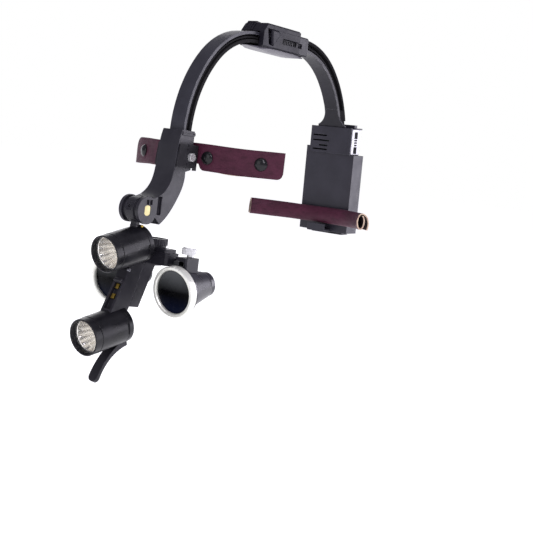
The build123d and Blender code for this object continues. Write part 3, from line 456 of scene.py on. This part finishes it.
FINISHES = {
    "adjuster": ["adjuster_body", "adjuster_cover", "lock_lever", "push_button"],
    "black": ["hinge_barrel", "lamp_bracket",
              "loupe_carrier", "lamp_handle", "rack_housing", "rack_lid", "pupil_knob", "left_clamp_block",
              "right_clamp_block", "battery_drawer"],
    "case": ["housing_front", "housing_back", "battery_case"],
    "arm": ["forehead_arm"],
    "front_arch": ["front_arch"],
    "rear_arch": ["rear_arch"],
    "rough_black": ["band_bracket"],
    "pad": ["crown_pad"],
    "rubber": ["front_flex_lead", "rear_flex_lead"],
    "nylon": ["hinge_washers"],
    "cell_wrap": ["battery_cell"],
    "lamp": ["upper_lamp_body", "upper_lamp_cap", "lower_lamp_body", "lower_lamp_cap"],
    "scope": ["left_scope_body", "right_scope_body"],
    "ring": ["left_objective_ring", "right_objective_ring"],
    "nickel": ["left_thumbscrew", "right_thumbscrew", "band_screw"],
    "steel": ["lever_pin", "optics_screws", "housing_screws", "button_spring"],
    "dark_steel": ["left_rack", "right_rack"],
    "brass": ["brass_contacts"],
    "pin_brass": ["hinge_pin"],
    "led_body": ["upper_led_module", "lower_led_module"],
    "lens": ["left_objective_lens", "right_objective_lens", "left_eyepiece_lens", "right_eyepiece_lens"],
    "cover": ["upper_lamp_glass", "lower_lamp_glass"],
    "board": ["circuit_board"],
    "label": ["side_plate"],
    "snap": ["band_snaps"],
}


def paint_nodes(materials):
    for finish, names in FINISHES.items():
        for name in names:
            mesh = NODES[name].data
            mesh.materials.clear()
            mesh.materials.append(materials[finish])


# ---- mesh helpers ----
def make_piece(name, points, faces, materials, body, pick=None, smooth=True):
    """Mesh object that rides a body; pick gives each face's material by its number."""
    mesh = bpy.data.meshes.new(name)
    mesh.from_pydata([tuple(p) for p in points], [], faces)
    for material in materials:
        mesh.materials.append(material)
    for polygon in mesh.polygons:
        polygon.use_smooth = smooth
        if pick is not None:
            polygon.material_index = pick[polygon.index]
    mesh.update()
    piece = bpy.data.objects.new(name, mesh)
    bpy.context.scene.collection.objects.link(piece)
    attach(piece, body)
    return piece


def slab_from_grid(top, under, columns, rows):
    """Closed sheet from two grids of points.

    Returns points, faces and each face's kind: 0 top, 1 under, 2 edge.
    """
    points = [p for row in top for p in row] + [p for row in under for p in row]
    half = rows * columns
    faces, kinds = [], []

    def at(row, column, side):
        return side * half + row * columns + column

    for i in range(rows - 1):
        for j in range(columns - 1):
            faces.append((at(i, j, 0), at(i, j + 1, 0), at(i + 1, j + 1, 0), at(i + 1, j, 0)))
            kinds.append(0)
            faces.append((at(i, j, 1), at(i + 1, j, 1), at(i + 1, j + 1, 1), at(i, j + 1, 1)))
            kinds.append(1)
    rim = [(0, j) for j in range(columns)] + [(i, columns - 1) for i in range(1, rows)]
    rim += [(rows - 1, j) for j in range(columns - 2, -1, -1)] + [(i, 0) for i in range(rows - 2, 0, -1)]
    for (i, j), (k, l) in zip(rim, rim[1:] + rim[:1]):
        faces.append((at(k, l, 0), at(i, j, 0), at(i, j, 1), at(k, l, 1)))
        kinds.append(2)
    return points, faces, kinds


def revolve(profile, origin, axis, steps, wave=None):
    """Closed surface of revolution from a (radius, distance) loop; wave scales a radius by its angle."""
    axis = Vector(axis).normalized()
    side = axis.orthogonal().normalized()
    other = axis.cross(side)
    points, faces = [], []
    count = len(profile)
    for step in range(steps):
        angle = 2 * pi * step / steps
        outward = side * cos(angle) + other * sin(angle)
        for radius, along in profile:
            scale = wave(angle, radius, along) if wave else 1.0
            points.append(Vector(origin) + outward * radius * scale + axis * along)
    for step in range(steps):
        after = (step + 1) % steps
        for i in range(count):
            k = (i + 1) % count
            faces.append((step * count + i, step * count + k, after * count + k, after * count + i))
    return points, faces


def tidy_poles(piece):
    """Merge the points that meet at a pole and turn every face outward."""
    shape = bmesh.new()
    shape.from_mesh(piece.data)
    bmesh.ops.remove_doubles(shape, verts=shape.verts, dist=1e-7)
    bmesh.ops.dissolve_degenerate(shape, edges=shape.edges, dist=1e-8)
    bmesh.ops.recalc_face_normals(shape, faces=shape.faces)
    shape.to_mesh(piece.data)
    shape.free()


def in_metres(loop):
    return [(radius * MM, along * MM) for radius, along in loop]


# ---- forehead band: two layers of leather behind the bracket ----
BAND_CENTRE_Y = 30.4
BAND_RADIUS = 106.0
BAND_LOW, BAND_HIGH = 8.0, 27.0
BRACKET_EDGE = 11.6
FLAT_FROM, FLAT_RADIUS = -44.0, 210.0
BAND_END_LEFT, BAND_END_RIGHT = 73.3, -77.0
BAND_WIDTH = BAND_HIGH - BAND_LOW
LEATHER_THICK, OUTER_STAND, LINING_STAND = 1.15, 1.3, -0.3
LINING_SHORT, LINING_INSET = 0.6, 0.35
SMALL_CORNER, LARGE_CORNER = 4.5, 10.0
SNAP_ANGLES = (-31.0, -9.6, 9.6, 31.0)


def corner_rise(distance, radius):
    """How far a rounded corner cuts into an edge, at a distance from the end."""
    if distance >= radius:
        return 0.0
    return radius - sqrt(max(0.0, radius * radius - (radius - distance) ** 2))


def band_place(along, height, outward):
    """A point beside the band's face; past the flat's start, the wearer's right end straightens out."""
    bend = max(along, FLAT_FROM) / BAND_RADIUS
    beyond = min(0.0, along - FLAT_FROM)
    turn = beyond / FLAT_RADIUS
    x = BAND_RADIUS * sin(bend)
    y = BAND_CENTRE_Y - BAND_RADIUS * cos(bend)
    run = FLAT_RADIUS * sin(turn)
    sag = FLAT_RADIUS * (1.0 - cos(turn))
    x += run * cos(bend) - sag * sin(bend)
    y += run * sin(bend) + sag * cos(bend)
    facing = bend + turn
    normal = Vector((sin(facing), -cos(facing), 0.0))
    return Vector((x, y, height)) + normal * outward, normal


def band_layer(name, materials, ends, stand, lower, upper, ripple):
    """One leather of the band, from its end stations, its stand-off and its edges' heights."""
    columns, rows = 221, 13
    grids = []
    for depth in (0.0, LEATHER_THICK):
        grid = []
        for i in range(rows):
            line = []
            for j in range(columns):
                along = ends[0] + (ends[1] - ends[0]) * j / (columns - 1)
                low, high = lower(along), upper(along)
                height = low + (high - low) * i / (rows - 1)
                puff = ripple(along, (height - BAND_LOW) / BAND_WIDTH)
                line.append(band_place(along, height, stand + puff - depth)[0] * MM)
            grid.append(line)
        grids.append(grid)
    points, faces, kinds = slab_from_grid(grids[0], grids[1], columns, rows)
    return make_piece(name, points, faces, materials, "forehead_band", kinds)


def add_forehead_band(materials):
    def outer_low(along):
        gap = abs(along) - BRACKET_EDGE
        narrow = SMALL_CORNER if gap < 0 else corner_rise(gap, SMALL_CORNER)
        return BAND_LOW + narrow + corner_rise(BAND_END_LEFT - along, SMALL_CORNER) + 0.25 * sin(along * 0.11)

    def outer_high(along):
        return BAND_HIGH - corner_rise(along - BAND_END_RIGHT, LARGE_CORNER) + 0.3 * sin(along * 0.09 + 0.8)

    def inner_low(along):
        peek = 0.75 * exp(-((along - 36.0) / 12.0) ** 2) + 0.5 * exp(-((along + 40.0) / 12.0) ** 2)
        return outer_low(along) + LINING_INSET - peek

    def inner_high(along):
        return outer_high(along) - LINING_INSET

    def ripple(along, share):
        wave = noise.noise(Vector((along * 0.045, share * 0.7, 3.1)))
        pucker = 0.0
        for spot in SNAP_ANGLES:
            near = hypot(along - radians(spot) * BAND_RADIUS, (share - 0.5) * BAND_WIDTH)
            pucker += 0.22 * exp(-((near - 7.0) / 2.2) ** 2)
        return 0.75 * wave * min(1.0, max(0.0, (abs(along) - 14.0) / 12.0)) + pucker - 0.15

    outer_faces = [materials["leather"], materials["raw"], materials["leather"]]
    turned_faces = [materials["raw"], materials["leather"], materials["raw"]]
    outer_ends = (BAND_END_RIGHT, BAND_END_LEFT)
    inner_ends = (BAND_END_RIGHT + LINING_SHORT, BAND_END_LEFT - LINING_SHORT)
    outer = band_layer("band_leather_outer", outer_faces, outer_ends, OUTER_STAND, outer_low, outer_high,
                       ripple)
    inner = band_layer("band_leather_lining", turned_faces, inner_ends, LINING_STAND, inner_low, inner_high,
                       lambda along, share: 0.4 * ripple(along, share))
    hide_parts("front_band")


def add_snaps(materials):
    """Domed caps with a rolled foot, on the outer leather."""
    cap = [(0.0, 2.15), (1.2, 2.08), (2.4, 1.86), (3.3, 1.52), (3.9, 1.16), (4.25, 0.80), (4.3, 0.62),
           (4.55, 0.5), (4.62, 0.3), (4.5, 0.12), (0.0, 0.12)]
    profile = in_metres(cap)
    middle = (BAND_LOW + BAND_HIGH) / 2
    for number, spot in enumerate(SNAP_ANGLES):
        origin, outward = band_place(radians(spot) * BAND_RADIUS, middle, OUTER_STAND)
        points, faces = revolve(profile, origin * MM, outward, 48)
        piece = make_piece(f"snap_cap_{number}", points, faces, [materials["snap"]], "forehead_band")
        tidy_poles(piece)
        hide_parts("band_snaps")


# ---- neck strap: one leather sheet rolled up ----
STRAP_CENTRE_Y = 24.0
STRAP_RADIUS = 77.0
STRAP_Z = -18.0
STRAP_FROM, STRAP_TO = 90.0 - 44.8, 90.0 + 47.0
STRAP_THICK = 1.05
ROLL_START, ROLL_SWEEP, ROLL_STEPS = 70.0, 478.0, 84
ROLL_HALF_WIDTH, ROLL_HALF_HEIGHT = 3.35, 6.95
FLAP_FROM = 0.70


def roll_section(turn_over):
    """Centreline of the rolled sheet in (outward, up): a closed turn, then a flap hanging down outside it."""
    points = []
    for i in range(ROLL_STEPS + 1):
        share = i / ROLL_STEPS
        angle = radians(ROLL_START + turn_over) - share * radians(ROLL_SWEEP)
        grow = 0.74 + 0.17 * min(1.0, share / FLAP_FROM)
        flap = max(0.0, (share - FLAP_FROM) / (1.0 - FLAP_FROM))
        outward = ROLL_HALF_WIDTH * grow * cos(angle) + 3.6 * sin(flap * pi / 2) ** 1.2
        up = ROLL_HALF_HEIGHT * grow * sin(angle) + 0.7 * sin(flap * pi) - 1.2 * flap ** 2
        points.append((outward, up))
    return points


def add_neck_strap(materials):
    """The rolled section carried round the neck, leaning and swelling a little on its way."""
    stations = 72
    top, under = [], []
    for k in range(stations + 1):
        share = k / stations
        angle = radians(STRAP_FROM + (STRAP_TO - STRAP_FROM) * share)
        lean = 5.0 * noise.noise(Vector((share * 3.1, 0.4, 1.7)))
        swell = 1.0 + 0.03 * noise.noise(Vector((share * 5.0, 2.2, 0.3)))
        line = roll_section(lean)
        row_top, row_under = [], []
        for i, (outward, up) in enumerate(line):
            after, before = line[min(i + 1, len(line) - 1)], line[max(i - 1, 0)]
            run = Vector((after[0] - before[0], after[1] - before[1])).normalized()
            wrinkle = 0.10 * noise.noise(Vector((share * 16.0, i * 0.13, 5.0)))
            for side, row in ((0.5, row_top), (-0.5, row_under)):
                shift = Vector((-run.y, run.x)) * (STRAP_THICK * side + wrinkle)
                radial = STRAP_RADIUS + (outward * swell + shift.x)
                height = STRAP_Z + up * swell + shift.y
                row.append(Vector((radial * cos(angle), STRAP_CENTRE_Y + radial * sin(angle), height)) * MM)
        top.append(row_top)
        under.append(row_under)
    columns, rows = len(top[0]), stations + 1
    points, faces, kinds = slab_from_grid(top, under, columns, rows)
    finish = [materials["leather"], materials["suede"], materials["raw"]]
    piece = make_piece("neck_leather", points, faces, finish, "rear_frame", kinds)
    tidy_poles(piece)
    line = roll_section(0.0)
    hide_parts("neck_strap")


# ---- lamps: fluted bowls and emitters ----
# The y and z of each lamp's front, on its axis.
LAMP_FRONTS = {"upper": (-148.4, -54.4), "lower": (-159.6, -110.5)}
BOWL_FRONT, BOWL_DEPTH = 5.3, 12.6
BOWL_THROAT, BOWL_SPREAD, BOWL_LIP = 3.2, 8.0, 11.5
BOWL_WALL = 0.45
FLUTES, FLUTE_DEPTH, FLUTE_END, FLUTE_FADE = 14, 0.10, 11.25, 1.2


def add_lamp_insides(materials):
    """A fluted parabolic bowl, open at its lip, and an emitter's dome at its throat, in each lamp."""
    axis = (0.0, cos(radians(LAMP_PITCH)), sin(radians(LAMP_PITCH)))
    steps = 16
    inner = []
    for i in range(steps + 1):
        inner.append((BOWL_THROAT + BOWL_SPREAD * sqrt(i / steps), BOWL_FRONT + BOWL_DEPTH * (1 - i / steps)))
    outer = [(radius + BOWL_WALL, along + 0.5) for radius, along in inner[-2::-1]]
    profile = in_metres(inner + [(BOWL_LIP, BOWL_FRONT), (BOWL_LIP, BOWL_FRONT + 0.6)] + outer)

    def flute(angle, radius, along):
        depth = FLUTE_DEPTH * min(1.0, max(0.0, (FLUTE_END * MM - radius) / (FLUTE_FADE * MM)))
        return 1.0 - depth * (1.0 - abs(sin(angle * FLUTES / 2)))

    dome = in_metres([(0.0, 14.5), (0.9, 14.62), (1.6, 15.1), (1.95, 15.8), (2.0, 16.4), (0.0, 16.4)])
    for prefix, front in LAMP_FRONTS.items():
        origin = Vector((0.0, *front)) * MM
        points, faces = revolve(profile, origin, axis, FLUTES * 12, flute)
        bowl = make_piece(f"{prefix}_fluted_bowl", points, faces, [materials["silver"]], "lamp_head")
        tidy_poles(bowl)
        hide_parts(f"{prefix}_reflector")
        points, faces = revolve(dome, origin, axis, 32)
        bead = make_piece(f"{prefix}_emitter_dome", points, faces, [materials["phosphor"]], "lamp_head")
        tidy_poles(bead)


# ---- rear housing: generic level marks on the side plate ----
REAR_TILT = 3.0
REAR_PIVOT = (102.0, 34.0)
PLATE_FACE, PRINT_SUNK, PRINT_RAISED = 20.9, 0.05, 0.14
PLATE_MIDDLE = 108.3


def leaned(x, y, z):
    """A point of the upright rear housing, tilted as the housing is."""
    tilt = radians(REAR_TILT)
    across, rise = y - REAR_PIVOT[0], z - REAR_PIVOT[1]
    return Vector((x, REAR_PIVOT[0] + across * cos(tilt) - rise * sin(tilt),
                   REAR_PIVOT[1] + across * sin(tilt) + rise * cos(tilt))) * MM


def add_level_marks(materials):
    """Two bars with three small squares between them, printed on the side plate."""
    marks = [(2.3, 47.6, 53.2), (2.3, 35.4, 41.0)] + [(1.9, 41.7 + 2.0 * i, 43.0 + 2.0 * i) for i in range(3)]
    points, faces = [], []
    for half, low, high in marks:
        near, far = PLATE_MIDDLE - half, PLATE_MIDDLE + half
        corners = [(near, low), (far, low), (far, high), (near, high)]
        start = len(points)
        for x in (PLATE_FACE - PRINT_SUNK, PLATE_FACE + PRINT_RAISED):
            points += [leaned(x, y, z) for y, z in corners]
        faces.append(tuple(start + i for i in (3, 2, 1, 0)))
        faces.append(tuple(start + i for i in (4, 5, 6, 7)))
        for i in range(4):
            k = (i + 1) % 4
            faces.append((start + i, start + k, start + 4 + k, start + 4 + i))
    piece = make_piece("level_marks", points, faces, [materials["print"]], "rear_frame", smooth=False)
    tidy_poles(piece)


add_camera()
add_studio()
add_floor()
MATERIALS = make_materials()
paint_nodes(MATERIALS)
add_forehead_band(MATERIALS)
add_snaps(MATERIALS)
add_neck_strap(MATERIALS)
add_lamp_insides(MATERIALS)
add_level_marks(MATERIALS)
